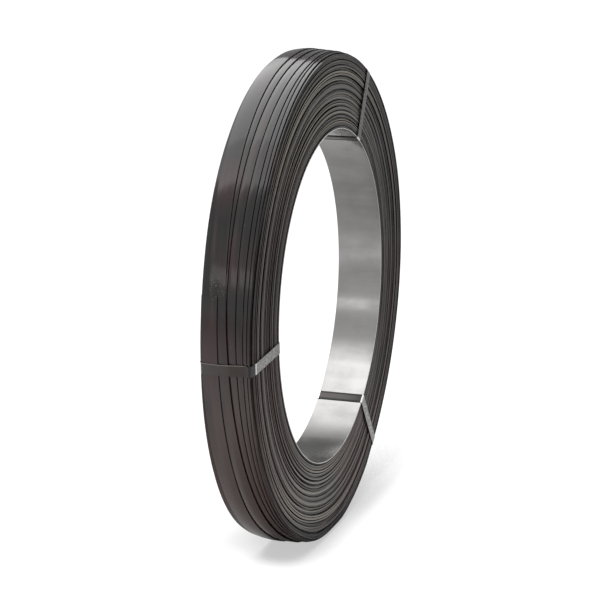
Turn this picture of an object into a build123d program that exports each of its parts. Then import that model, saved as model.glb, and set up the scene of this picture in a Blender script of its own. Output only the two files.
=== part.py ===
from build123d import *
import math
import os

# Coil of flat steel strapping, standing on its rim.
# Millimetres, +Z up. The coil's axis is level and lies along Y.
# The end that the -Y side shows is the near end. The origin is on the floor,
# under the middle of the coil.

# Core ring: a thin bright steel band that the strap is wound on
bore_diameter = 406.4
core_wall = 1.0
core_seat_gap = 0.1
core_edge_radius = 0.3

# Winding
coil_width = 58.8
winding_depth = 94.7
strap_width = 19.05
strap_thickness = 0.8
lap_groove_width = 1.2

# Shoulders, where the outermost turns stop short of the two ends
shoulder_laps = 3
shoulder_lap_width = 4.8
near_shoulder_drop = 6.4
far_shoulder_drop = 3.4

# Turn edges on the two ends
turn_pitch = 3.0
turn_groove_width = 1.0
turn_groove_depth = 1.6
turn_scatter = 0.7
scatter_angle_step = 137.5

# Ties: flat steel bands closed round the winding
tie_width = 12.7
tie_thickness = 0.5
tie_clearance = 0.3
tie_corner_radius = 0.8

# Where each tie crosses the winding, as an angle from +X towards +Z
tie_top_angle = 62.0
tie_front_angle = 184.0
tie_back_angle = 306.5

bore_radius = bore_diameter / 2
core_outer_radius = bore_radius + core_wall
winding_inner_radius = core_outer_radius + core_seat_gap
winding_outer_radius = winding_inner_radius + winding_depth
near_rim_radius = winding_outer_radius - near_shoulder_drop
far_rim_radius = winding_outer_radius - far_shoulder_drop
half_width = coil_width / 2
shoulder_width = shoulder_laps * shoulder_lap_width
crown_edge = half_width - shoulder_width
axis_height = winding_outer_radius

# Sketches are drawn with the radius along X and the coil's axis along Y,
# and are turned round Y through the middle of the bore.
coil_axis = Axis((0, 0, 0), (0, 1, 0))
lift = Location((0, 0, axis_height))


def turn_edge_profile(inner_radius, outer_radius):
    """Points of one end, from the bore out: (radius, depth below the end's plane)."""
    count = max(1, int((outer_radius - inner_radius) / turn_pitch))
    pitch = (outer_radius - inner_radius) / count
    groove = min(turn_groove_width, pitch / 2)
    points = []
    for turn in range(count):
        start = inner_radius + turn * pitch
        scatter = turn_scatter * (1 + math.sin(math.radians(turn * scatter_angle_step))) / 2
        crest = 0.0 if turn in (0, count - 1) else scatter
        crest_end = start + pitch - groove
        points.append((start, crest))
        points.append((crest_end, crest))
        if turn < count - 1:
            points.append((crest_end + groove / 2, turn_groove_depth))
    points.append((outer_radius, 0.0))
    return points


def shoulder_steps(rim_radius):
    """Points of one shoulder, from its rim up to the crown: (radius, distance in from the end)."""
    rise = (winding_outer_radius - rim_radius) / shoulder_laps
    points = []
    for lap in range(1, shoulder_laps + 1):
        edge = lap * shoulder_lap_width
        points.append((rim_radius + (lap - 1) * rise, edge))
        points.append((rim_radius + lap * rise, edge))
    return points


def crown_laps():
    """Points of the level crown, with a groove at each lapped strap edge: (radius, place along Y)."""
    laps = max(1, round(4 * crown_edge / strap_width))
    step = 2 * crown_edge / laps
    points = []
    for lap in range(1, laps):
        edge = lap * step - crown_edge
        points.append((winding_outer_radius, edge - lap_groove_width))
        points.append((winding_outer_radius - strap_thickness, edge - lap_groove_width / 2))
        points.append((winding_outer_radius, edge))
    return points


def make_strap_coil():
    """The whole winding as one turned solid, with turn edges on its ends and laps outside."""
    near_end = turn_edge_profile(winding_inner_radius, near_rim_radius)
    far_end = turn_edge_profile(winding_inner_radius, far_rim_radius)
    outline = [(radius, depth - half_width) for radius, depth in near_end]
    outline += [(radius, inset - half_width) for radius, inset in shoulder_steps(near_rim_radius)]
    outline += crown_laps()
    outline += [(radius, half_width - inset) for radius, inset in reversed(shoulder_steps(far_rim_radius))]
    outline += [(radius, half_width - depth) for radius, depth in reversed(far_end)]
    section = make_face(Polyline(*outline, close=True))
    return lift * revolve(section, coil_axis, 360)


def make_core_ring():
    """The bright band that lines the bore over the full width."""
    edge = min(core_edge_radius, core_wall / 3)
    middle = Location(((bore_radius + core_outer_radius) / 2, 0))
    section = middle * RectangleRounded(core_wall, coil_width, edge)
    return lift * revolve(section, coil_axis, 360)


def tie_outline(clearance):
    """The closed path of a tie round the winding's section, that far off its faces."""
    end = half_width + clearance
    crown = winding_outer_radius + clearance
    near_rise = near_shoulder_drop / shoulder_laps
    far_rise = far_shoulder_drop / shoulder_laps
    corners = [
        (bore_radius - clearance, -end),
        (bore_radius - clearance, end),
        (far_rim_radius + far_rise + clearance, end),
        (crown, crown_edge + shoulder_lap_width),
        (crown, -crown_edge - shoulder_lap_width),
        (near_rim_radius + near_rise + clearance, -end),
    ]
    return make_face(Polyline(*corners, close=True))


def make_tie(angle):
    """One tie: a flat band closed round the winding at that angle."""
    inside = tie_outline(tie_clearance)
    outside = tie_outline(tie_clearance + tie_thickness)
    loop = fillet(outside.vertices(), tie_corner_radius + tie_thickness)
    loop -= fillet(inside.vertices(), tie_corner_radius)
    band = extrude(loop, tie_width / 2, both=True)
    return lift * (Rotation(0, -angle, 0) * band)


def main():
    """Write one STEP file for each piece."""
    os.makedirs("parts", exist_ok=True)
    pieces = {
        "strap_coil": make_strap_coil(),
        "core_ring": make_core_ring(),
        "tie_top": make_tie(tie_top_angle),
        "tie_front": make_tie(tie_front_angle),
        "tie_back": make_tie(tie_back_angle),
    }
    for name, piece in pieces.items():
        export_step(piece, f"parts/{name}.step")


main()
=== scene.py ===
"""Steel strapping coil: the wound strap, the ring it is wound on and its three ties.

Sizes of the coil's classes are millimetres and degrees, and meshes are made in
metres. The studio is in metres. Angles run from +X towards +Z round the coil's
level axis. The near end of the coil is the one that the -Y side shows.
"""
import logging
import math
import random
from dataclasses import dataclass, field
from enum import Enum
from functools import reduce

import bmesh
import bpy
import numpy as np
from mathutils import Matrix, Vector


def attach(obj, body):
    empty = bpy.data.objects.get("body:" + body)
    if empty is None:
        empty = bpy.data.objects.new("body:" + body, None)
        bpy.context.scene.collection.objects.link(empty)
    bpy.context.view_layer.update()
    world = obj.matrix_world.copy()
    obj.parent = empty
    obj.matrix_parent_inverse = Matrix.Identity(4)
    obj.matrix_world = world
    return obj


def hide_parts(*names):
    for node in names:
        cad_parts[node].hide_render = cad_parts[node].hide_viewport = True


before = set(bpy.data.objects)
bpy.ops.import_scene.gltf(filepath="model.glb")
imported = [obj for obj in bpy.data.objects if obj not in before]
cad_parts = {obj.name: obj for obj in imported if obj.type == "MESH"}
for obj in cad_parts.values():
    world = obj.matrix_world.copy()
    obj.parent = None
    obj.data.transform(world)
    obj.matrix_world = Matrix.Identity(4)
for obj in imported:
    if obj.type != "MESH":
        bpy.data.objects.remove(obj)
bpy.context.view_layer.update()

MM = 0.001
LAY = "lay"
PAINT = "paint"
GAP = "gap"
SHADE = "shade"
LOG = logging.getLogger("coil")

Pairs = tuple[tuple[float, float], ...]
Span = tuple[float, float]
Triple = tuple[float, float, float]
Socket = bpy.types.NodeSocket


class Slot(Enum):
    """The record's material slots."""

    STRAP = "dark_strap"
    CORE = "bright_steel"
    TIE = "tie_steel"


class Node(Enum):
    """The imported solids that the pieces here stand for."""

    STRAP = "strap_coil"
    CORE = "core_ring"
    TIE_TOP = "tie_top"
    TIE_FRONT = "tie_front"
    TIE_BACK = "tie_back"


class Cover(Enum):
    """What covers a face of a tie, as the number that its finish reads."""

    # The bends' polished steel is painted near-white, a painted glint
    POLISHED_GLINT = -1.0
    BARE = 0.0
    PAINTED = 1.0
    WORN = 2.0
    # A shoulder facet painted near-black, a painted shade
    SHADE_PAINTED = 3.0


def hann(values: np.ndarray, reach: int) -> np.ndarray:
    """Smooth a run of numbers with a rounded window.

    Args:
        values: the numbers, in order.
        reach: how many neighbours count on each side.

    Returns:
        As many numbers, smoothed, with the ends held.
    """
    window = np.hanning(2 * reach + 3)[1:-1]
    return np.convolve(np.pad(values, reach, mode="edge"), window / window.sum(), mode="valid")


def smoothstep(values: np.ndarray, low: float, high: float) -> np.ndarray:
    """Ease from 0 at low to 1 at high.

    Args:
        values: the numbers to ease.
        low: where the result leaves 0.
        high: where the result reaches 1.

    Returns:
        The eased numbers.
    """
    part = np.clip((values - low) / (high - low), 0, 1)
    return part * part * (3 - 2 * part)


def hull(points: list[tuple[float, float]]) -> list[tuple[float, float]]:
    """Find the tight loop round flat points.

    Args:
        points: the points, in any order.

    Returns:
        The loop's corners, turning left all the way.
    """
    chains = []
    for run in (sorted(points), sorted(points, reverse=True)):
        chain: list[tuple[float, float]] = []
        for x, y in run:
            while len(chain) > 1 and ((chain[-1][0] - chain[-2][0]) * (y - chain[-2][1])
                                      - (chain[-1][1] - chain[-2][1]) * (x - chain[-2][0])) <= 0:
                chain.pop()
            chain.append((x, y))
        chains += chain[:-1]
    return chains


def places(mesh: bpy.types.Mesh) -> np.ndarray:
    """Read the places of a mesh's vertices.

    Args:
        mesh: the mesh.

    Returns:
        The places, one row each.
    """
    flat = np.empty(len(mesh.vertices) * 3)
    mesh.vertices.foreach_get("co", flat)
    return flat.reshape(-1, 3)


def mark(mesh: bpy.types.Mesh, name: str, values: np.ndarray, domain: str = "POINT") -> None:
    """Give a mesh an attribute that its finish reads.

    Args:
        mesh: the mesh.
        name: the attribute's name.
        values: a number for each vertex or face, or a row of three.
        domain: POINT for vertices, FACE for faces.
    """
    kind, key = ("FLOAT_VECTOR", "vector") if values.ndim == 2 else ("FLOAT", "value")
    made = mesh.attributes.new(name, kind, domain)
    made.data.foreach_set(key, values.ravel())


def to_mesh(bm: bmesh.types.BMesh, name: str, sharp: float) -> bpy.types.Mesh:
    """Turn a bmesh into a smooth mesh with its sharp edges kept.

    Args:
        bm: the bmesh, which is freed.
        name: the mesh's name.
        sharp: edges that turn by more than this many degrees stay sharp.

    Returns:
        The mesh.
    """
    mesh = bpy.data.meshes.new(name)
    bm.to_mesh(mesh)
    bm.free()
    mesh.shade_smooth()
    mesh.set_sharp_from_angle(angle=math.radians(sharp))
    return mesh


def piece(name: str, mesh: bpy.types.Mesh, material: bpy.types.Material) -> bpy.types.Object:
    """Put a finished mesh in the scene.

    Args:
        name: the piece's name.
        mesh: its mesh, in place.
        material: its finish.

    Returns:
        The new object, at the origin.
    """
    made = bpy.data.objects.new(name, mesh)
    bpy.context.scene.collection.objects.link(made)
    mesh.materials.clear()
    mesh.materials.append(material)
    return made


def hand_over(made: bpy.types.Object, node: Node) -> None:
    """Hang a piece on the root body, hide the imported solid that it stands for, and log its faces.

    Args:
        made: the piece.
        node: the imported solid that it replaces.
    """
    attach(made, "root")
    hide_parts(node.value)
    LOG.info("%s: %d faces", made.name, len(made.data.polygons))


@dataclass(frozen=True)
class CoilSize:
    """The sizes that the winding, the core and the ties share."""

    bore_radius: float = 203.2
    core_wall: float = 1.0
    winding_radius: float = 204.3
    outer_radius: float = 299.0
    half_width: float = 29.4


@dataclass(frozen=True)
class Strap:
    """The flat steel strap."""

    width: float = 19.05
    thickness: float = 0.8
    edge_bevel: float = 0.14


@dataclass
class Winding:
    """The strap's way round the core, to and fro, worked out station by station."""

    size: CoilSize = CoilSize()
    strap: Strap = Strap()
    turns: int = 238
    top_turns: int = 7
    top_columns: int = 6
    stations: int = 144
    free_end: float = 168.0
    seed: int = 11
    # The outermost turns: degrees back from the free end, and the near edge's place along Y
    last_pass: Pairs = (
        (0, 10.6), (3, 10.1), (18, 6.9), (42, 3.6), (62, 3.4), (132, 7.0), (289, 9.4), (312, 8.6), (332, 6.5),
        (349, 3.3), (362, 0.4), (377, -4.6), (398, -9.2), (417, -12.6), (432, -12.8), (492, -8.0),
        (552, -3.0), (649, -0.3), (697, 0.8), (737, -1.0), (779, -6.0), (852, -10.0), (1009, -11.0),
        (1029, -10.5), (1054, -9.2), (1082, -10.3), (1099, -13.1), (1122, -16.0), (1139, -18.9),
        (1180, -23.5), (1225, -24.0), (1369, -18.5), (1422, -18.5), (1452, -19.4), (1499, -22.5),
        (1540, -25.8), (1600, -25.8), (1729, -21.0), (1772, -24.2), (1802, -23.1), (1822, -24.2),
        (1857, -25.6), (1900, -27.8), (1960, -27.8), (2090, -25.3), (2104, -27.4), (2176, -26.6),
        (2219, -28.3), (2453, -29.2))
    # Gaps beside the laps of the outermost turns, from the last one in: width and depth
    gaps: Pairs = (
        (0.0, 0.0), (1.3, 0.8), (1.4, 0.8), (1.0, 0.6), (1.3, 0.8), (0.9, 0.6), (0.8, 0.5), (0.6, 0.4))
    # Across the strap, from -0.5 to 0.5: where a gap's lip and wall must lie, and how wide its floor is
    gap_span: Span = (-0.48, 0.4)
    gap_floor: float = 0.05
    # Earlier passes: turns spent going across, turns spent at each end, and turns from wander to wander
    cross_turns: Span = (2.1, 3.0)
    near_turns: Span = (1.5, 8.0)
    far_turns: Span = (1.5, 6.0)
    wander_turns: Span = (0.9, 2.2)
    end_short: tuple[float, ...] = (0.0, 0.2, 0.4, 0.9)
    end_wander: float = 0.8
    edge_smoothing: int = 10
    # How far the middle of the near face sits behind its two rims
    hollow: float = 1.7
    # Where each end's outermost inner turns reach, to their outer faces
    near_rim: float = 292.6
    far_rim: float = 296.3
    # How near an end the strap counts as lying there, and where it no longer counts
    lies_there: Span = (2.5, 7.0)
    # How far the end rises a turn while the strap lies there, in thicknesses
    settle: float = 1.02
    # How the crown falls off towards the far end: place along Y and height
    far_shoulder: Pairs = ((-29.4, 0.0), (12.0, 0.0), (17.0, -0.4), (21.0, -0.9), (25.0, -1.6), (29.4, -2.7))
    # Where the near face sits deeper: angle, reach, depth, and the radii between which it sinks
    dent_angle: float = 184.0
    dent_reach: float = 50.0
    dent_depth: float = 3.2
    dent_radii: Span = (277.0, 293.0)
    # How far the loose outer turns would sag if no floor were near: angle and distance
    sag: Pairs = (
        (240, 0.0), (246, 1.0), (250, 2.6), (256, 6.5), (262, 9.0), (268, 8.0), (276, 1.5), (282, 0.0))
    sag_radii: Span = (272.0, 294.0)
    # How far each end swells past its plane round the coil: angle and distance
    near_swell: Pairs = (
        (0, 2.2), (22, 2.5), (42, 1.4), (60, 0.3), (90, 0.0), (244, 0.0), (256, 2.0), (264, 3.8), (274, 4.0),
        (282, 3.3), (292, 2.4), (298, 2.0), (304, 0.7), (318, 0.4), (335, 0.9))
    far_swell: Pairs = (
        (0, 0.0), (98, 0.2), (107, 2.0), (115, 2.8), (122, 3.2), (139, 3.1), (146, 2.7), (153, 2.0),
        (160, 1.0), (168, 0.2), (182, 0.1), (192, 0.8), (199, 1.4), (208, 2.4), (220, 3.5), (231, 4.0),
        (250, 3.0), (290, 0.0))
    swell_radii: Span = (225.0, 285.0)
    sharp: float = 35.0

    def __post_init__(self) -> None:
        """Work out every station of the strap, from the core to the free end."""
        self.count = self.turns * self.stations + 1
        self.back = np.arange(self.count - 1, -1, -1) / self.stations
        self.angle = np.radians(self.free_end + 360 * self.back)
        self.split = self.count - 1 - self.top_turns * self.stations
        self.edge = self.near_edges()
        half_width = self.size.half_width
        self.near_level = self.level("near", self.edge + half_width, self.near_rim)
        self.far_level = self.level("far", half_width - self.strap.width - self.edge, self.far_rim)
        self.over = np.full(self.count, np.inf)
        for turn in range(1, self.top_turns + 1):
            shift = turn * self.stations
            self.over[:-shift] = np.minimum(self.over[:-shift], self.edge[shift:])

    def near_edges(self) -> np.ndarray:
        """Lead the strap to and fro, from the free end back to the core.

        Returns:
            The place along Y of the strap's near edge at each station.
        """
        rng = random.Random(self.seed)
        knots = [(back / 360, edge) for back, edge in self.last_pass]
        turn, at_far_end = knots[-1][0], False
        while turn < self.turns:
            edge = self.end_edge(rng, at_far_end, turn)
            inward = -1 if at_far_end else 1
            stay_until = turn + rng.uniform(*(self.far_turns if at_far_end else self.near_turns))
            while turn < stay_until:
                turn = min(turn + rng.uniform(*self.wander_turns), stay_until)
                knots.append((turn, edge + inward * self.end_wander * rng.uniform(0, 1) ** 2))
            turn += rng.uniform(*self.cross_turns)
            at_far_end = not at_far_end
            knots.append((turn, self.end_edge(rng, at_far_end, turn)))
        edges = np.interp(self.back, [knot[0] for knot in knots], [knot[1] for knot in knots])
        return hann(edges, self.edge_smoothing)

    def end_edge(self, rng: random.Random, at_far_end: bool, turn: float) -> float:
        """Find where the near edge lies while the strap is at one end.

        Args:
            rng: the winding's own random numbers.
            at_far_end: which end it is.
            turn: how many turns back from the free end.

        Returns:
            The near edge's place along Y, furthest back in the hollow of the near face.
        """
        short = rng.choice(self.end_short)
        if at_far_end:
            return self.size.half_width - self.strap.width - short / 2
        depth = min(turn / self.turns, 1)
        return short + self.hollow * 4 * depth * (1 - depth) - self.size.half_width

    def level(self, name: str, off: np.ndarray, rim: float) -> np.ndarray:
        """Stack the inner turns at one end, which rises by a strap only while the strap lies there.

        Args:
            name: the end's name, for the log.
            off: how far the strap is from that end at each station.
            rim: the radius that the stack must reach under the outermost turns.

        Returns:
            The radius of the winding at that end at each station.
        """
        share = 1 - smoothstep(off, *self.lies_there)
        there = share / self.stations
        away = 1 / self.stations - there
        solid = self.strap.thickness * self.settle * there
        last = int(np.nonzero(share[:self.split] > 0.5)[0][-1])
        spare = rim - self.strap.thickness - self.size.winding_radius - solid[:last].sum()
        step = spare / away[:last].sum()
        LOG.info("the %s end rises %.2f mm a turn while the strap is away", name, step)
        rise = np.where(np.arange(self.count) < last, solid + step * away, 0.0)
        return self.size.winding_radius + np.cumsum(rise)

    def laid(self, station: np.ndarray, across: np.ndarray) -> tuple[np.ndarray, np.ndarray, np.ndarray]:
        """Find the underside of the strap.

        Args:
            station: station numbers.
            across: places across the strap, from -0.5 at its near edge to 0.5.

        Returns:
            The angles, the places along Y and the radii.
        """
        angle = self.angle[station]
        degrees = np.degrees(angle) % 360
        along = self.edge[station] + (across + 0.5) * self.strap.width
        share = (along + self.size.half_width) / (2 * self.size.half_width)
        leaning = self.near_level[station] * (1 - share) + self.far_level[station] * share
        crown = self.size.outer_radius - self.strap.thickness * (self.back[station] + 1)
        crown = crown + np.interp(along, *zip(*self.far_shoulder))
        inner = smoothstep(self.back[station], self.top_turns - 1, self.top_turns)
        radius = crown * (1 - inner) + leaning * inner
        off = np.abs((degrees - self.dent_angle + 180) % 360 - 180)
        sunk = self.dent_depth * (1 - smoothstep(off, 0, self.dent_reach))
        sunk = sunk * smoothstep(radius, *self.dent_radii) * inner * (1 - share)
        near = np.interp(degrees, *zip(*self.near_swell), period=360)
        far = np.interp(degrees, *zip(*self.far_swell), period=360)
        swollen = smoothstep(radius, *self.swell_radii) * (far * share - near * (1 - share))
        # How far it is along the radius to a level line under the turn, which holds the sag back
        room = radius * (1 / np.maximum(-np.sin(angle), 0.5) - 1)
        sag = np.interp(degrees, *zip(*self.sag))
        sagged = sag * room / (sag + room + 1e-9) * smoothstep(radius, *self.sag_radii)
        return angle, along + sunk + swollen, radius + sagged

    def lapped(self, station: np.ndarray, column: np.ndarray) -> tuple[np.ndarray, np.ndarray, np.ndarray]:
        """Place the seven columns of an outermost turn, with its gap beside the strap that lies over it.

        Args:
            station: station numbers.
            column: column numbers, from 0 at the near edge to 6.

        Returns:
            The places across the strap, how far into the gap each is from 0 to 1, and the gap's depth.
        """
        turn = np.minimum(self.back[station].astype(int), len(self.gaps) - 1)
        width, depth = np.array(self.gaps)[turn].T
        wall = (self.over[station] - self.edge[station]) / self.strap.width - 0.5
        lip = wall - width / self.strap.width
        has_gap = (lip > self.gap_span[0]) & (wall < self.gap_span[1])
        wall, lip = np.where(has_gap, wall, 0.0), np.where(has_gap, lip, 0.0)
        low, high = np.full_like(wall, -0.5), np.full_like(wall, 0.5)
        floor = wall + self.gap_floor
        columns = np.stack([low, (lip + low) / 2, lip, wall, floor, (floor + high) / 2, high])
        across = np.where(has_gap, columns[column, np.arange(len(column))], column / self.top_columns - 0.5)
        into = np.where(has_gap & ((column == 3) | (column == 4)), 1.0, 0.0)
        return across, into, depth

    def blank(self, name: str, first: int, last: int, top: bool) -> bpy.types.Mesh:
        """Lay the underside of a stretch of strap round the coil.

        Args:
            name: the mesh's name.
            first: the first station.
            last: the last station.
            top: whether it is an outermost turn, with its laps.

        Returns:
            The sheet, marked with its place on the strap and its gaps.
        """
        columns = self.top_columns if top else 1
        bm = bmesh.new()
        bmesh.ops.create_grid(bm, x_segments=last - first, y_segments=columns, size=0.5)
        sheet = bpy.data.meshes.new(name + "_blank")
        bm.to_mesh(sheet)
        bm.free()
        flat = places(sheet)
        station = first + np.rint((flat[:, 0] + 0.5) * (last - first)).astype(int)
        across, into, depth = flat[:, 1], np.zeros(len(flat)), 0.0
        if top:
            across, into, depth = self.lapped(station, np.rint((flat[:, 1] + 0.5) * columns).astype(int))
        angle, along, radius = self.laid(station, across)
        radius = radius - into * depth
        height = self.size.outer_radius + radius * np.sin(angle)
        spot = MM * np.stack([radius * np.cos(angle), along, height], 1)
        sheet.vertices.foreach_set("co", spot.ravel())
        middle = (self.near_level + self.far_level) / 2
        run = np.concatenate([[0], np.cumsum(middle[1:] * 2 * math.pi / self.stations)]) * MM
        mark(sheet, LAY, np.stack([run[station], across + 0.5, self.turns - self.back[station]], 1))
        mark(sheet, GAP, into)
        return sheet

    def roll(self, name: str, first: int, last: int, top: bool) -> bpy.types.Mesh:
        """Roll a stretch of strap up into its place on the coil.

        Args:
            name: the mesh's name.
            first: the first station.
            last: the last station.
            top: whether it is an outermost turn, with its laps and its long edges taken off.

        Returns:
            The mesh of that stretch of strap.
        """
        sheet = self.blank(name, first, last, top)
        bm = bmesh.new()
        bm.from_mesh(sheet)
        bpy.data.meshes.remove(sheet)
        bmesh.ops.recalc_face_normals(bm, faces=bm.faces[:])
        probe = bm.faces[:][0]
        centre = Vector((0, 0, self.size.outer_radius * MM))
        if probe.normal.dot(probe.calc_center_median() - centre) <= 0:
            bmesh.ops.reverse_faces(bm, faces=bm.faces[:])
        bmesh.ops.solidify(bm, geom=bm.faces[:], thickness=-self.strap.thickness * MM)
        if top:
            key = bm.verts.layers.float_vector[LAY]
            rims = [edge for edge in bm.edges if self.is_long_rim(*(vert[key] for vert in edge.verts))]
            bmesh.ops.bevel(bm, geom=rims, offset=self.strap.edge_bevel * MM, segments=1, profile=0.5,
                            affect="EDGES", material=-1, clamp_overlap=True)
        bmesh.ops.recalc_face_normals(bm, faces=bm.faces[:])
        return to_mesh(bm, name, self.sharp)

    @staticmethod
    def is_long_rim(first: Vector, second: Vector) -> bool:
        """Return whether two neighbours on the strap lie along one of its two long edges."""
        at_rim = min(first.y % 1, 1 - first.y % 1) < 1e-4
        return at_rim and abs(first.y - second.y) < 1e-6 and abs(first.x - second.x) > 1e-5

    def envelope(self, angle: float, reach: float) -> list[tuple[float, float]]:
        """Find the outer points of the winding near an angle.

        Args:
            angle: the angle round the coil, in degrees.
            reach: how far to each side to look, in degrees.

        Returns:
            Places along Y and radii of the strap's top corners there.
        """
        off = np.abs((np.degrees(self.angle) - angle + 180) % 360 - 180)
        near = np.nonzero(off <= reach)[0]
        points = []
        for across in (-0.5, 0.0, 0.5):
            _, along, radius = self.laid(near, np.full(len(near), across))
            points += zip(along.tolist(), (radius + self.strap.thickness).tolist())
        return points


@dataclass
class CoreRing:
    """The thin steel ring that the strap is wound on."""

    size: CoilSize = CoilSize()
    edge_radius: float = 0.35
    steps: int = 288
    # More than the turn from step to step round the ring, and less than that between a rounded edge's facets
    sharp: float = 8.0

    def mesh(self) -> bpy.types.Mesh:
        """Spin the ring's rounded section round the coil's axis.

        Returns:
            The closed ring, marked with places that follow its surface.
        """
        inner, outer = self.size.bore_radius, self.size.bore_radius + self.size.core_wall
        half_width, height = self.size.half_width, self.size.outer_radius * MM
        corners = [(inner, -half_width), (outer, -half_width), (outer, half_width), (inner, half_width)]
        bm = bmesh.new()
        verts = [bm.verts.new((radius * MM, along * MM, height)) for radius, along in corners]
        edges = [bm.edges.new((verts[i], verts[(i + 1) % 4])) for i in range(4)]
        bmesh.ops.bevel(bm, geom=verts + edges, offset=self.edge_radius * MM, segments=3, profile=0.5,
                        affect="VERTICES", material=-1)
        bmesh.ops.spin(bm, geom=bm.verts[:] + bm.edges[:], cent=(0, 0, height), axis=(0, 1, 0),
                       angle=2 * math.pi, steps=self.steps, use_merge=True, use_duplicate=False)
        bmesh.ops.remove_doubles(bm, verts=bm.verts[:], dist=1e-6)
        bmesh.ops.recalc_face_normals(bm, faces=bm.faces[:])
        mesh = to_mesh(bm, "core_ring_steel", self.sharp)
        place = places(mesh)
        angle = np.arctan2(place[:, 2] - height, place[:, 0])
        bore = inner * MM
        mark(mesh, LAY, np.stack([np.cos(angle) * bore, place[:, 1], np.sin(angle) * bore], 1))
        return mesh


@dataclass
class Tie:
    """One flat steel band closed tight round the winding."""

    name: str
    angle: float
    node: Node
    size: CoilSize = CoilSize()
    width: float = 12.7
    thickness: float = 0.5
    clearance: float = 0.3
    bend: float = 1.6
    # How far round the coil, past the band's own width, the winding is felt for
    margin: float = 1.5
    shortest_side: float = 2.5
    # How stained its bare legs are, and how far its outer leg has slipped round the coil
    stained: float = Cover.BARE.value
    slip: float = 0.0
    # Where the slip sets in: places along Y and radii
    slip_along: Span = (-28.5, -22.0)
    slip_radii: Span = (275.0, 290.0)
    # Which faces are the band's narrow sides, and how far out from the bore those of the outer leg are
    narrow_within: float = 0.3
    outer_from: float = 50.0
    # How upright the legs' faces are, and how far outwards the faces on a shoulder look
    upright_within: float = 0.02
    shoulder_out: Span = (0.1, 0.95)
    sharp: float = 35.0

    def __post_init__(self) -> None:
        """Work out which ways the band faces."""
        turn = math.radians(self.angle)
        self.out = Vector((math.cos(turn), 0, math.sin(turn)))
        self.side = Vector((-math.sin(turn), 0, math.cos(turn)))
        self.centre = Vector((0, 0, self.size.outer_radius))

    def loop(self, winding: Winding) -> list[tuple[float, float]]:
        """Find the band's inner loop.

        Args:
            winding: the winding that it is closed round.

        Returns:
            Corners of the loop, as places along Y and radii.
        """
        bore, outer, half_width = self.size.bore_radius, self.size.outer_radius, self.size.half_width
        points = winding.envelope(self.angle, math.degrees(self.width / 2 / outer) + self.margin)
        points += [(-half_width, bore), (half_width, bore)]
        corners: list[tuple[float, float]] = []
        for corner in hull(points):
            if not corners or math.dist(corner, corners[-1]) > self.shortest_side:
                corners.append(corner)
        if math.dist(corners[0], corners[-1]) < self.shortest_side:
            corners.pop()
        middle, half_depth = (bore + outer) / 2, (outer - bore) / 2
        return [(y * (1 + self.clearance / half_width),
                 middle + (r - middle) * (1 + self.clearance / half_depth)) for y, r in corners]

    def mesh(self, winding: Winding) -> bpy.types.Mesh:
        """Bend the band round its loop.

        Args:
            winding: the winding that it is closed round.

        Returns:
            The band, with its painted faces marked.
        """
        bm = bmesh.new()
        loop = self.loop(winding)
        along, radii = np.array(loop).T
        slips = self.slip * smoothstep(along, *self.slip_along) * smoothstep(radii, *self.slip_radii)
        verts = []
        for (y, r), slip in zip(loop, slips.tolist()):
            spot = self.centre + self.out * r + Vector((0, y, 0)) + self.side * (slip - self.width / 2)
            verts.append(bm.verts.new(spot * MM))
        edges = [bm.edges.new((verts[i], verts[(i + 1) % len(verts)])) for i in range(len(verts))]
        grown = bmesh.ops.extrude_edge_only(bm, edges=edges)["geom"]
        bmesh.ops.translate(bm, verts=[item for item in grown if isinstance(item, bmesh.types.BMVert)],
                            vec=self.side * self.width * MM)
        bends = [edge for edge in bm.edges if len(edge.link_faces) == 2]
        bmesh.ops.bevel(bm, geom=bends, offset=self.bend * MM, segments=4, profile=0.5, affect="EDGES",
                        material=-1, clamp_overlap=True)
        bmesh.ops.recalc_face_normals(bm, faces=bm.faces[:])
        probe = max(bm.faces, key=lambda face: face.calc_center_median().dot(self.out))
        if probe.normal.dot(self.out) < 0:
            bmesh.ops.reverse_faces(bm, faces=bm.faces[:])
        bmesh.ops.solidify(bm, geom=bm.faces[:], thickness=-self.thickness * MM)
        bmesh.ops.recalc_face_normals(bm, faces=bm.faces[:])
        mesh = to_mesh(bm, self.name, self.sharp)
        off = (places(mesh) / MM - np.array(self.centre)) @ np.array(self.side) - self.slip
        across = off / (self.width / 2)
        mark(mesh, LAY, np.stack([across, across * 0, across * 0], 1))
        mark(mesh, PAINT, np.array([self.cover(face) for face in mesh.polygons]), "FACE")
        return mesh

    def cover(self, face: bpy.types.MeshPolygon) -> float:
        """Say what covers one face of the band.

        Args:
            face: the face.

        Returns:
            A value of Cover, or one less than halfway from BARE to PAINTED for stained steel.
        """
        looks_out = face.normal.dot(self.out)
        if abs(looks_out) < self.narrow_within and abs(face.normal.y) < self.narrow_within:
            far_out = (face.center - self.centre * MM).dot(self.out)
            outer = far_out > (self.size.bore_radius + self.outer_from) * MM
            return self.stained if outer else Cover.PAINTED.value
        end = (self.size.half_width + self.clearance / 2) * MM
        if abs(face.center.y) > end and abs(looks_out) < self.upright_within:
            return self.stained
        # The bends at the ends: polished steel painted near-white, a painted glint
        if abs(face.center.y) > end - self.bend / 2 * MM:
            return Cover.POLISHED_GLINT.value
        # A shoulder facet that looks out and towards -Y: painted near-black, a painted shade
        low, high = self.shoulder_out
        if low < looks_out < high and face.normal.y < 0:
            return Cover.SHADE_PAINTED.value
        return Cover.WORN.value if looks_out > low else Cover.PAINTED.value


@dataclass(frozen=True)
class Grain:
    """A noise between 0 and 1: how much its vector is stretched along each axis, and its own settings."""

    stretch: Triple | None = None
    scale: float = 1.0
    detail: float = 3.0
    roughness: float = 0.5


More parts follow.
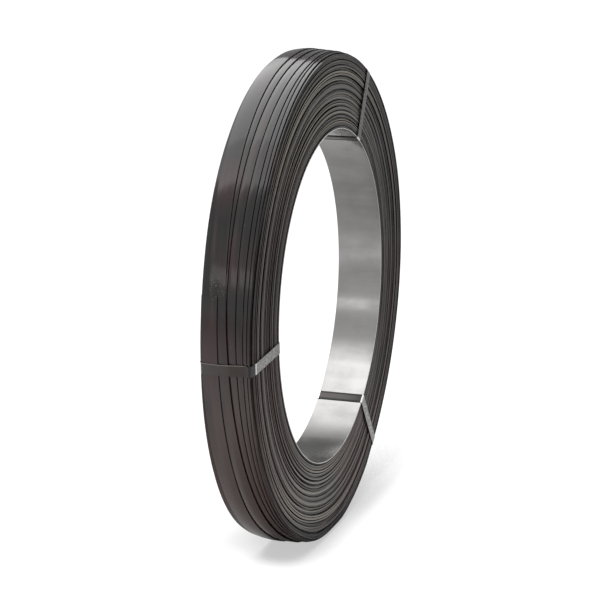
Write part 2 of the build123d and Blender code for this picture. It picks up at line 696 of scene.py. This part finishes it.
class Board:
    """A node tree with short ways to place nodes and join them."""

    def __init__(self, tree: bpy.types.NodeTree) -> None:
        """Keep the tree that the nodes go into."""
        self.tree = tree

    def feed(self, node: bpy.types.Node, inputs: dict) -> None:
        """Give a node its inputs.

        Args:
            node: the node.
            inputs: values or sockets, by name or number.
        """
        for name, value in inputs.items():
            if isinstance(value, Socket):
                self.tree.links.new(value, node.inputs[name])
            else:
                node.inputs[name].default_value = value

    def add(self, kind: str, inputs: dict | None = None, **settings: object) -> bpy.types.Node:
        """Place one node.

        Args:
            kind: the node's type, without its common start.
            inputs: values or sockets for its inputs, by name or number.
            settings: properties of the node.

        Returns:
            The node.
        """
        node = self.tree.nodes.new("ShaderNode" + kind)
        for name, value in settings.items():
            setattr(node, name, value)
        self.feed(node, inputs or {})
        return node

    def math(self, operation: str, first: float | Socket, second: float | Socket = 0.0) -> Socket:
        """Return the result of a Math node."""
        return self.add("Math", {0: first, 1: second}, operation=operation).outputs[0]

    def product(self, *factors: float | Socket) -> Socket:
        """Return numbers multiplied together."""
        return reduce(lambda first, second: self.math("MULTIPLY", first, second), factors)

    def mix(self, share: float | Socket, first: Triple | Socket, second: Triple | Socket) -> Socket:
        """Return a colour between two."""
        first, second = (end if isinstance(end, Socket) else (*end, 1.0) for end in (first, second))
        return self.add("Mix", {0: share, 6: first, 7: second}, data_type="RGBA").outputs[2]

    def blend(self, share: float | Socket, first: float | Socket, second: float | Socket) -> Socket:
        """Return a number between two."""
        return self.add("Mix", {0: share, 2: first, 3: second}, data_type="FLOAT").outputs[0]

    def ramp(self, value: Socket, low: float, high: float, easing: str = "SMOOTHSTEP") -> Socket:
        """Return how far a number is on its way from low to high, kept within 0 and 1."""
        return self.add("MapRange", {"Value": value, "From Min": low, "From Max": high},
                        interpolation_type=easing, clamp=True).outputs["Result"]

    def stretch(self, vector: Socket, scale: Triple) -> Socket:
        """Return a vector scaled by its own factor along each axis."""
        return self.add("Mapping", {"Vector": vector, "Scale": scale}).outputs["Vector"]

    def noise(self, vector: Socket, grain: Grain) -> Socket:
        """Return a noise between 0 and 1."""
        vector = self.stretch(vector, grain.stretch) if grain.stretch else vector
        return self.add("TexNoise", {"Vector": vector, "Scale": grain.scale, "Detail": grain.detail,
                                     "Roughness": grain.roughness}).outputs["Fac"]

    def bump(self, height: Socket, strength: float, depth: float, under: Socket | None = None) -> Socket:
        """Return the normal that a height gives, over another normal where there is one."""
        inputs = {"Height": height, "Strength": strength, "Distance": depth}
        return self.add("Bump", inputs if under is None else inputs | {"Normal": under}).outputs["Normal"]

    def near(self, place: Socket, middle: Triple, far_off: float, close: float = 0.0) -> Socket:
        """Return 1 close to a point, easing to 0 where it is far off."""
        off = self.add("VectorMath", {0: place, 1: middle}, operation="DISTANCE").outputs["Value"]
        return self.ramp(off, far_off, close)

    def attribute(self, name: str, output: str = "Fac") -> Socket:
        """Return a piece's own attribute."""
        return self.add("Attribute", attribute_name=name).outputs[output]

    def place(self) -> Socket:
        """Return the place on the piece, in metres."""
        return self.add("TexCoord").outputs["Object"]

    def parts(self, vector: Socket) -> list[Socket]:
        """Return a vector's three numbers."""
        return list(self.add("SeparateXYZ", {0: vector}).outputs)


def new_finish(name: str) -> tuple[bpy.types.Material, Board, bpy.types.Node]:
    """Start a finish.

    Args:
        name: the material's name.

    Returns:
        The material, its board and its shader.
    """
    made = bpy.data.materials.new(name)
    made.use_nodes = True
    return made, Board(made.node_tree), made.node_tree.nodes["Principled BSDF"]


class Effects:
    """The shader group that more than one finish uses."""

    fine: Grain = Grain(detail=4.0, roughness=0.6)
    coarse: Grain = Grain(detail=3.0, roughness=0.5)

    def __init__(self) -> None:
        """Build the group once: two noises, and a tone that is a share of each."""
        tree = bpy.data.node_groups.new("clouded", "ShaderNodeTree")
        for label in ("Clouds Vector", "Clouds Scale", "Patches Vector", "Patches Scale", "Share"):
            kind = "NodeSocketVector" if label.endswith("Vector") else "NodeSocketFloat"
            tree.interface.new_socket(label, in_out="INPUT", socket_type=kind)
        for label in ("Clouds", "Tone"):
            tree.interface.new_socket(label, in_out="OUTPUT", socket_type="NodeSocketFloat")
        given, put = tree.nodes.new("NodeGroupInput").outputs, tree.nodes.new("NodeGroupOutput")
        board = Board(tree)
        clouds, patches = (
            board.add("TexNoise", {"Vector": given[name + " Vector"], "Scale": given[name + " Scale"],
                                   "Detail": grain.detail, "Roughness": grain.roughness}).outputs["Fac"]
            for name, grain in (("Clouds", self.fine), ("Patches", self.coarse)))
        board.feed(put, {"Clouds": clouds, "Tone": board.blend(given["Share"], patches, clouds)})
        self.group = tree

    def clouded(self, board: Board, clouds: tuple[Socket, float], patches: tuple[Socket, float],
                share: float) -> tuple[Socket, Socket]:
        """Place the group.

        Args:
            board: the finish's board.
            clouds: the vector and scale of the fine noise.
            patches: the vector and scale of the coarse noise.
            share: how much of the tone is clouds.

        Returns:
            The clouds and the tone, each from 0 to 1.
        """
        node = board.add("Group", node_tree=self.group)
        board.feed(node, {"Clouds Vector": clouds[0], "Clouds Scale": clouds[1], "Patches Vector": patches[0],
                          "Patches Scale": patches[1], "Share": share})
        return node.outputs["Clouds"], node.outputs["Tone"]


@dataclass(frozen=True)
class StrapFinish:
    """Black paint and wax on a steel strap, brown in places, worn at the edges, with painted shade in the
    gaps of its laps and painted light on the coil's ends.
    """

    black: Triple = (0.004, 0.0036, 0.004)
    brown: Triple = (0.050, 0.029, 0.025)
    red: Triple = (0.034, 0.012, 0.014)
    bare: Triple = (0.16, 0.15, 0.14)
    rolled: Triple = (0.014, 0.012, 0.0115)
    speck: Triple = (0.45, 0.44, 0.42)
    # Near-black painted shade, in the gaps beside the laps and on the crown turns' sheared edges
    gap: Triple = (0.003, 0.003, 0.003)
    # The sheared edges on the ends of the coil: dark ones, and pale ones from place to place
    edge_dark: Triple = (0.008, 0.007, 0.0075)
    edge_light: Triple = (0.145, 0.122, 0.116)
    edge_olive: Triple = (0.22, 0.196, 0.162)
    edge_low: Triple = (0.27, 0.242, 0.212)
    edge_low_right: Triple = (0.27, 0.192, 0.178)
    # Reddish clouds: middle and reach
    blushes: tuple[tuple[Triple, float], ...] = (
        ((-0.240, 0.018, 0.475), 0.050), ((-0.284, -0.008, 0.391), 0.045), ((-0.298, 0.010, 0.30), 0.07))
    blush_clouds: Span = (0.2, 0.6)
    scuffed: Triple = (-0.293, 0.012, 0.370)
    scuff_reach: Span = (0.016, 0.004)
    scuff_grain: Grain = Grain(scale=500.0)
    scuff_range: Span = (0.58, 0.66)
    # Brown shows where the tone is high, and more so low down
    cloud_stretch: Triple = (3.0, 2.0, 0.9)
    patch_scale: float = 9.0
    cloud_share: float = 0.55
    brown_range: Span = (0.47, 0.70)
    low_down: Span = (0.40, 0.12)
    low_share: float = 0.26
    # Fine lines that rolling leaves along the strap
    line_grain: Grain = Grain((1.6, 26.0, 1.0), detail=4.0, roughness=0.65)
    line_range: Span = (0.35, 0.7)
    line_share: float = 0.3
    # Where across the strap its sheared edge and its worn rim begin, and from which turn the crown is made
    side_from: float = 0.497
    rim_span: Span = (0.484, 0.498)
    top_from: float = 231.0
    # How pale each turn's edge is: less towards +X, which is painted shade, and less in the last turns under
    # the crown
    turn_grain: Grain = Grain((0.35, 0.0, 0.36), detail=2.0, roughness=0.7)
    turn_range: Span = (0.47, 0.60)
    turn_slope: float = 0.15
    turn_fade: float = 0.2
    fade_turns: Span = (14.0, 2.0)
    # Where the pale edges turn olive near the top and paler still near the floor, reddish there towards +X:
    # the added paleness is a painted reflection, the olive and red are tints
    upper: Span = (0.42, 0.52)
    lower: Span = (0.15, 0.07)
    right: Span = (0.0, 0.08)
    wear_grain: Grain = Grain((14.0, 3.0, 1.0), detail=4.0)
    wear_range: Span = (0.45, 0.7)
    wear_share: float = 0.5
    speck_grains: tuple[Grain, Grain] = (Grain(scale=420.0, detail=2.0), Grain(scale=14.0, detail=2.0))
    speck_range: Span = (0.5, 0.55)
    gap_range: Span = (0.0, 0.5)
    roughness: Span = (0.10, 0.15)
    edge_roughness: float = 0.45
    bump_strength: float = 0.15
    bump_depth: float = 0.00006
    index: float = 1.46

    def paint(self, board: Board, effects: Effects, lay: Socket, lines: Socket) -> Socket:
        """Colour the strap's wide faces.

        Args:
            board: the finish's board.
            effects: the shared group.
            lay: the place on the strap.
            lines: the rolled lines, from 0 to 1.

        Returns:
            The colour.
        """
        place = board.place()
        clouds, tone = effects.clouded(board, (board.stretch(lay, self.cloud_stretch), 1.0),
                                       (place, self.patch_scale), self.cloud_share)
        low = board.product(board.ramp(board.parts(place)[2], *self.low_down), self.low_share)
        brown = board.ramp(board.math("ADD", tone, low), *self.brown_range)
        base = board.mix(brown, self.black, self.brown)
        for middle, reach in self.blushes:
            blush = board.product(board.near(place, middle, reach), board.ramp(clouds, *self.blush_clouds))
            base = board.mix(blush, base, self.red)
        scuffs = board.product(board.near(place, self.scuffed, *self.scuff_reach),
                               board.ramp(board.noise(place, self.scuff_grain), *self.scuff_range))
        base = board.mix(scuffs, base, self.bare)
        return board.mix(board.product(lines, self.line_share), base, self.rolled)

    def sheared(self, board: Board, lay: Socket) -> Socket:
        """Colour the strap's sheared edges, which the ends of the coil show, with painted light: paler near
        the top and the floor, darker towards +X.

        Args:
            board: the finish's board.
            lay: the place on the strap.

        Returns:
            The colour.
        """
        x, _, z = board.parts(board.place())
        turn = board.parts(lay)[2]
        # Painted shade: the edges darken towards +X
        tone = board.math("SUBTRACT", board.noise(lay, self.turn_grain), board.product(x, self.turn_slope))
        fade = board.ramp(turn, *(self.top_from - back for back in self.fade_turns))
        tone = board.ramp(board.math("SUBTRACT", tone, board.product(fade, self.turn_fade)), *self.turn_range)
        # Painted reflection: paler edges near the top and near the floor
        pale = board.mix(board.ramp(z, *self.upper), self.edge_light, self.edge_olive)
        foot = board.mix(board.ramp(x, *self.right), self.edge_low, self.edge_low_right)
        pale = board.mix(board.ramp(z, *self.lower), pale, foot)
        edge = board.mix(tone, self.edge_dark, pale)
        # The crown turns' sheared edges take the near-black painted shade
        return board.mix(board.math("LESS_THAN", turn, self.top_from), self.gap, edge)

    def material(self, effects: Effects) -> bpy.types.Material:
        """Build the finish.

        Args:
            effects: the shared group.

        Returns:
            The material.
        """
        made, board, shader = new_finish("black_waxed_strap")
        lay, place = board.attribute(LAY, "Vector"), board.place()
        relief = board.noise(lay, self.line_grain)
        lines = board.ramp(relief, *self.line_range)
        off = board.math("ABSOLUTE", board.math("SUBTRACT", board.parts(lay)[1], 0.5))
        side = board.math("GREATER_THAN", off, self.side_from)
        base = board.mix(side, self.paint(board, effects, lay, lines), self.sheared(board, lay))
        wear = board.product(board.ramp(off, *self.rim_span),
                             board.ramp(board.noise(lay, self.wear_grain), *self.wear_range), self.wear_share)
        base = board.mix(wear, base, self.bare)
        specks = board.product(*(board.noise(place, grain) for grain in self.speck_grains))
        base = board.mix(board.ramp(specks, *self.speck_range, "LINEAR"), base, self.speck)
        # Painted shade in the gaps beside the laps
        gap = board.ramp(board.attribute(GAP), *self.gap_range)
        base = board.mix(gap, base, self.gap)
        rough = board.blend(board.math("MAXIMUM", side, gap), board.blend(lines, *self.roughness),
                            self.edge_roughness)
        bump = board.bump(relief, self.bump_strength, self.bump_depth)
        board.feed(shader, {"Base Color": base, "Roughness": rough, "Normal": bump, "IOR": self.index})
        return made


@dataclass(frozen=True)
class CoreFinish:
    """Bright cold-rolled steel under a thin film of oil, with a painted highlight on its rims."""

    light: Triple = (0.277, 0.274, 0.271)
    dark: Triple = (0.233, 0.227, 0.222)
    # Near-white rims, a painted highlight that shows the ring's edges as light lines
    rim: Triple = (0.85, 0.85, 0.85)
    rim_from: float = 29.2
    cloud_scale: float = 22.0
    smear_stretch: Triple = (60.0, 12.0, 60.0)
    cloud_share: float = 0.6
    tone_range: Span = (0.35, 0.65)
    rough_range: Span = (0.3, 0.7)
    roughness: Span = (0.26, 0.12)
    # How the band's surface waves, and the fine lines that rolling leaves on it
    wave_grain: Grain = Grain((14.0, 6.0, 14.0), detail=2.0)
    wave_strength: float = 1.0
    wave_depth: float = 0.0002
    line_grain: Grain = Grain((4.0, 900.0, 4.0))
    line_strength: float = 0.2
    line_depth: float = 0.00003

    def material(self, effects: Effects) -> bpy.types.Material:
        """Build the finish.

        Args:
            effects: the shared group.

        Returns:
            The material.
        """
        made, board, shader = new_finish("bright_rolled_steel")
        lay = board.attribute(LAY, "Vector")
        smears = (board.stretch(lay, self.smear_stretch), 1.0)
        _, tone = effects.clouded(board, (lay, self.cloud_scale), smears, self.cloud_share)
        base = board.mix(board.ramp(tone, *self.tone_range), self.dark, self.light)
        off = board.math("ABSOLUTE", board.parts(lay)[1])
        # Painted highlight: near-white rims
        base = board.mix(board.math("GREATER_THAN", off, self.rim_from * MM), base, self.rim)
        rough = board.blend(board.ramp(tone, *self.rough_range), *self.roughness)
        waves = board.bump(board.noise(lay, self.wave_grain), self.wave_strength, self.wave_depth)
        lines = board.bump(board.noise(lay, self.line_grain), self.line_strength, self.line_depth, waves)
        board.feed(shader, {"Base Color": base, "Roughness": rough, "Normal": lines, "Metallic": 1.0})
        return made


@dataclass(frozen=True)
class TieFinish:
    """A thin steel band, painted black where it crosses the strap and the bore, bare at the ends, with a
    painted glint on its end bends and painted shade on its borders and one shoulder.
    """

    steel: Triple = (0.55, 0.54, 0.53)
    dull: Triple = (0.16, 0.156, 0.152)
    # Near-white on the end bends, a painted glint
    bright: Triple = (0.92, 0.92, 0.92)
    paint: Triple = (0.034, 0.024, 0.021)
    faded: Triple = (0.034, 0.028, 0.026)
    worn: Triple = (0.16, 0.145, 0.135)
    # Near-black painted shade, on the borders and on one shoulder facet
    painted_shade: Triple = (0.002, 0.002, 0.002)
    mottle: Grain = Grain(scale=480.0, detail=4.0, roughness=0.7)
    mottle_range: Span = (0.38, 0.62)
    fading: Grain = Grain(scale=60.0)
    fade_range: Span = (0.3, 0.7)
    # Where across the band, from -1 to 1, one edge is worn and both borders get painted shade
    worn_span: Span = (-0.84, -0.90)
    border_span: Span = (0.48, 0.68)
    paint_roughness: Span = (0.27, 0.55)
    steel_roughness: Span = (0.3, 0.5)
    bump_strength: float = 0.2
    bump_depth: float = 0.0001
    index: float = 1.45

    def material(self) -> bpy.types.Material:
        """Build the finish.

        Returns:
            The material.
        """
        made, board, shader = new_finish("tie_band_steel")
        place, cover = board.place(), board.attribute(PAINT)
        across = board.parts(board.attribute(LAY, "Vector"))[0]
        painted = board.math("GREATER_THAN", cover, Cover.PAINTED.value - 0.5)
        # Where the painted glint goes, on the bends
        polished_glint = board.math("LESS_THAN", cover, Cover.POLISHED_GLINT.value + 0.5)
        # Where painted shade goes, on a shoulder facet
        shaded_facet = board.math("GREATER_THAN", cover, Cover.SHADE_PAINTED.value - 0.5)
        worn = board.product(board.math("COMPARE", cover, Cover.WORN.value),
                             board.ramp(across, *self.worn_span))
        # Painted shade along both borders of the plain painted legs
        border = board.product(board.math("LESS_THAN", cover, Cover.WORN.value - 0.5),
                               board.ramp(board.math("ABSOLUTE", across), *self.border_span))
        mottle = board.noise(place, self.mottle)
        steel = board.mix(board.ramp(mottle, *self.mottle_range), self.dull, self.steel)
        steel = board.mix(board.math("MAXIMUM", cover, 0.0), steel, self.paint)
        steel = board.mix(polished_glint, steel, self.bright)
        fading = board.ramp(board.noise(place, self.fading), *self.fade_range)
        paint = board.mix(fading, self.paint, self.faded)
        # The worn edge, then painted shade on the borders and on one shoulder facet
        for share, tint in ((worn, self.worn), (border, self.painted_shade), (shaded_facet, self.painted_shade)):
            paint = board.mix(share, paint, tint)
        rough = board.blend(painted, board.blend(mottle, *self.steel_roughness),
                            board.blend(board.math("MAXIMUM", worn, border), *self.paint_roughness))
        bump = board.bump(mottle, self.bump_strength, self.bump_depth)
        metal = board.math("SUBTRACT", 1.0, painted)
        board.feed(shader, {"Base Color": board.mix(painted, steel, paint), "Roughness": rough,
                            "Metallic": metal, "Normal": bump, "IOR": self.index})
        return made


@dataclass(frozen=True)
class Card:
    """A card that only gloss sees: its lines, each with its cover from 0 to 1 and its corners."""

    name: str
    lines: tuple[tuple[float, tuple[Triple, ...]], ...]
    # How bright its face is, where 1 is white
    radiance: float = 0.28

    def mesh(self) -> bpy.types.Mesh:
        """Bridge the card's lines.

        Returns:
            The sheet, marked with its cover.
        """
        bm = bmesh.new()
        shade = bm.verts.layers.float.new(SHADE)
        rows = []
        for cover, corners in self.lines:
            verts = [bm.verts.new(corner) for corner in corners]
            for vert in verts:
                vert[shade] = cover
            rows.append([bm.edges.new(pair) for pair in zip(verts, verts[1:])])
        for first, second in zip(rows, rows[1:]):
            bmesh.ops.bridge_loops(bm, edges=first + second)
        mesh = bpy.data.meshes.new(self.name)
        bm.to_mesh(mesh)
        bm.free()
        return mesh

    def build(self) -> None:
        """Stand the card where only gloss sees it."""
        made, board, shader = new_finish(self.name)
        board.feed(shader, {"Base Color": (0.0, 0.0, 0.0, 1.0), "Roughness": 1.0,
                            "Emission Color": (1.0, 1.0, 1.0, 1.0), "Emission Strength": self.radiance,
                            "Alpha": board.attribute(SHADE)})
        card = piece(self.name, self.mesh(), made)
        card.visible_camera = False
        card.visible_diffuse = False
        card.visible_shadow = False


def across_y(x: float, z: float, ends: tuple[float, ...]) -> tuple[Triple, ...]:
    """Return the points of a straight line along Y."""
    return tuple((x, y, z) for y in ends)


@dataclass
class Floor:
    """The plain pale floor, which keeps the coil's shadow, in metres."""

    reach: float = 60.0
    # Its colour to the camera, to other rays, and in gloss: under the coil, beside it and beyond. In gloss it
    # is darker, darkest under the coil: painted shade in the reflections
    in_view: Triple = (0.09, 0.09, 0.09)
    in_light: Triple = (0.80, 0.80, 0.80)
    in_gloss: tuple[Triple, Triple, Triple] = ((0.10, 0.10, 0.10), (0.55, 0.55, 0.55), (0.95, 0.95, 0.95))
    under: Span = (0.0, 0.10)
    beyond: Span = (-0.12, -0.60)
    shine: float = 0.05
    # How bright it shows of itself close to the coil, where it is lower as a painted contact shadow, and in
    # the open
    glow: Span = (0.53, 1.04)
    contact_reach: float = 0.042
    contact_range: Span = (0.16, 0.88)
    # The wide soft shadow: its depth and reach under the coil and behind it, and where it fades
    halo: Span = (1.0, 2.4)
    halo_reach: Span = (0.16, 0.5)
    halo_behind: Span = (0.0, 0.2)
    halo_front: Span = (-0.16, -0.06)
    halo_near: Span = (-0.08, 0.0)
    halo_far: Span = (0.14, 0.06)

    def open_share(self, board: Board, reach: float | Socket) -> Socket:
        """Return how open the floor is to things within reach, from 0 to 1."""
        return board.add("AmbientOcclusion", {"Distance": reach}, samples=4).outputs["AO"]

    def material(self) -> bpy.types.Material:
        """Build the floor's finish.

        Returns:
            The material.
        """
        made, board, shader = new_finish("pale_floor")
        made.node_tree.nodes.remove(shader)
        path = board.add("LightPath").outputs
        x, y, _ = board.parts(board.place())
        # Painted shade in the reflections: the floor is darker in gloss, darkest under the coil
        under, beside, beyond = self.in_gloss
        gloss = board.mix(board.ramp(x, *self.beyond), beside, beyond)
        gloss = board.mix(board.ramp(board.math("ABSOLUTE", y), *self.under), under, gloss)
        base = board.mix(path["Is Glossy Ray"], self.in_light, gloss)
        base = board.mix(path["Is Camera Ray"], base, self.in_view)
        # The glow drops close to the coil: a painted contact shadow
        clear = board.ramp(self.open_share(board, self.contact_reach), *self.contact_range)
        behind = board.ramp(x, *self.halo_behind)
        closed = board.math("SUBTRACT", 1.0, self.open_share(board, board.blend(behind, *self.halo_reach)))
        halo = board.product(closed, board.blend(behind, *self.halo), board.ramp(x, *self.halo_front),
                             board.ramp(y, *self.halo_near), board.ramp(y, *self.halo_far))
        glow = board.math("SUBTRACT", board.blend(clear, *self.glow), halo)
        glow = board.product(path["Is Camera Ray"], board.math("MAXIMUM", glow, self.glow[0]))
        glow = board.math("ADD", glow, board.product(path["Is Glossy Ray"], self.shine))
        both = board.add("AddShader", {0: board.add("BsdfDiffuse", {"Color": base}).outputs[0],
                                       1: board.add("Emission", {"Strength": glow}).outputs[0]})
        board.feed(made.node_tree.nodes["Material Output"], {"Surface": both.outputs[0]})
        return made

    def build(self) -> None:
        """Lay the floor."""
        bm = bmesh.new()
        bmesh.ops.create_grid(bm, x_segments=1, y_segments=1, size=self.reach)
        mesh = bpy.data.meshes.new("floor")
        bm.to_mesh(mesh)
        bm.free()
        piece("floor", mesh, self.material())


@dataclass
class Studio:
    """The camera, the lamps, the floor and the white around them, in metres."""

    camera_place: Triple = (-2.15579, -0.71274, 0.82985)
    azimuth: float = -71.353
    elevation: float = 13.327
    focal_pixels: float = 1909.53
    picture_pixels: float = 600.0
    sensor: float = 36.0
    box_centre: Triple = (0.283, 0.56, 1.446)
    box_size: Span = (2.66, 1.38)
    box_tilt: float = 18.6
    box_radiance: float = 2.3
    strip_direction: Triple = (-0.903, 0.311, 0.294)
    strip_aim: Triple = (0.0, 0.0, 0.3)
    strip_distance: float = 3.0
    strip_size: Span = (1.4, 0.36)
    strip_radiance: float = 1.0
    world_fill: float = 0.8
    # Sheets that only gloss sees: the dim ones are painted shade in the reflections, and the bright card is a
    # painted reflected light
    cards: tuple[Card, ...] = (
        Card("top_card", (
            (0.0, ((0.25, -0.4, 1.44), (0.25, 0.44, 1.44), (0.25, 0.66, 1.44), (0.25, 1.35, 1.44))),
            (0.16, ((0.70, -0.4, 1.29), (0.70, 0.44, 1.29), (0.84, 0.66, 1.243), (1.10, 1.35, 1.155))),
            (0.45, ((1.04, -0.4, 1.176), (1.04, 0.44, 1.176), (1.23, 0.66, 1.112), (1.62, 1.35, 0.98))))),
        Card("far_card", (
            (1.0, ((1.04, -0.4, 1.17), (1.04, 0.44, 1.17), (1.23, 0.66, 0.98), (1.75, 1.25, 0.41))),
            (1.0, across_y(1.75, 0.40, (-0.4, 0.44, 0.66, 1.25))))),
        Card("low_card", (
            (1.0, across_y(0.75, 0.01, (-1.2, -0.1))),
            (1.0, across_y(1.55, 0.01, (-1.2, -0.1))))),
        Card("bore_card", (
            (0.0, across_y(0.28, 0.84, (0.0, 0.45))),
            (0.12, across_y(0.41, 0.84, (0.0, 0.45))),
            (0.40, across_y(0.53, 0.84, (0.0, 0.45))),
            (0.62, across_y(0.67, 0.84, (0.0, 0.45))),
            (0.80, across_y(0.90, 0.84, (0.0, 0.45))))),
        Card("bright_card", (
            (0.0, across_y(-0.47, 0.81, (-0.05, 0.45))),
            (0.7, across_y(-0.36, 0.83, (-0.05, 0.45))),
            (0.9, across_y(-0.30, 0.84, (-0.05, 0.45))),
            (0.9, across_y(-0.22, 0.85, (-0.05, 0.45)))), radiance=2.5))
    floor: Floor = field(default_factory=Floor)

    def camera(self) -> None:
        """Set the camera at the photograph's place."""
        data = bpy.data.cameras.new("camera")
        data.sensor_width = self.sensor
        data.lens = self.sensor * self.focal_pixels / self.picture_pixels
        camera = bpy.data.objects.new("camera", data)
        camera.location = self.camera_place
        camera.rotation_euler = (math.radians(90 - self.elevation), 0, math.radians(self.azimuth))
        bpy.context.scene.collection.objects.link(camera)
        bpy.context.scene.camera = camera

    def lamp(self, name: str, size: Span, radiance: float, place: Matrix) -> None:
        """Hang one soft box.

        Args:
            name: the lamp's name.
            size: its length and breadth.
            radiance: how bright its face is, where 1 is white.
            place: where it hangs.
        """
        data = bpy.data.lights.new(name, "AREA")
        data.shape = "RECTANGLE"
        data.size, data.size_y = size
        data.energy = radiance * math.pi * size[0] * size[1]
        lamp = bpy.data.objects.new(name, data)
        lamp.matrix_world = place
        bpy.context.scene.collection.objects.link(lamp)

    def lamps(self) -> None:
        """Hang the long soft box over the coil, and the strip beside it."""
        tilt = Matrix.Rotation(math.radians(self.box_tilt), 4, "Y")
        self.lamp("soft_box", self.box_size, self.box_radiance, Matrix.Translation(self.box_centre) @ tilt)
        way = Vector(self.strip_direction).normalized()
        turned = way.to_track_quat("Z", "Y").to_matrix().to_4x4()
        place = Vector(self.strip_aim) + way * self.strip_distance
        self.lamp("strip", self.strip_size, self.strip_radiance, Matrix.Translation(place) @ turned)

    def world(self) -> None:
        """Put white round the scene, dimmer where it only fills."""
        world = bpy.data.worlds.new("white_studio")
        world.use_nodes = True
        board = Board(world.node_tree)
        path = board.add("LightPath").outputs
        seen = board.math("MAXIMUM", path["Is Glossy Ray"], path["Is Transmission Ray"])
        seen = board.math("MAXIMUM", path["Is Camera Ray"], seen)
        board.feed(world.node_tree.nodes["Background"],
                   {"Color": (1.0, 1.0, 1.0, 1.0), "Strength": board.blend(seen, self.world_fill, 1.0)})
        bpy.context.scene.world = world

    def build(self) -> None:
        """Set up the whole studio."""
        self.camera()
        self.lamps()
        for card in self.cards:
            card.build()
        self.world()
        self.floor.build()
        bpy.context.scene.view_settings.view_transform = "Standard"


@dataclass
class Coil:
    """The whole coil: strap, core and ties."""

    winding: Winding = field(default_factory=Winding)
    core: CoreRing = field(default_factory=CoreRing)
    ties: tuple[Tie, ...] = field(default_factory=lambda: (
        Tie("tie_top_band", 62.0, Node.TIE_TOP, stained=0.48),
        Tie("tie_front_band", 184.0, Node.TIE_FRONT, slip=-2.4),
        Tie("tie_back_band", 306.5, Node.TIE_BACK)))

    def build(self, effects: Effects) -> None:
        """Make every piece and hand it to the frame.

        Args:
            effects: the shared shader group.
        """
        winding = self.winding
        middle = winding.split // 2
        strap = StrapFinish().material(effects)
        for name, first, last, top in (("inner_turns", 0, middle, False),
                                       ("outer_turns", middle, winding.split, False),
                                       ("top_turns", winding.split, winding.count - 1, True)):
            hand_over(piece(name, winding.roll(name, first, last, top), strap), Node.STRAP)
        core = piece("core_ring_steel", self.core.mesh(), CoreFinish().material(effects))
        hand_over(core, Node.CORE)
        band = TieFinish().material()
        for tie in self.ties:
            hand_over(piece(tie.name, tie.mesh(winding), band), tie.node)


def main() -> None:
    """Build the studio and the coil."""
    logging.basicConfig(level=logging.INFO, format="%(name)s: %(message)s")
    Studio().build()
    Coil().build(Effects())


if __name__ == "__main__":
    main()
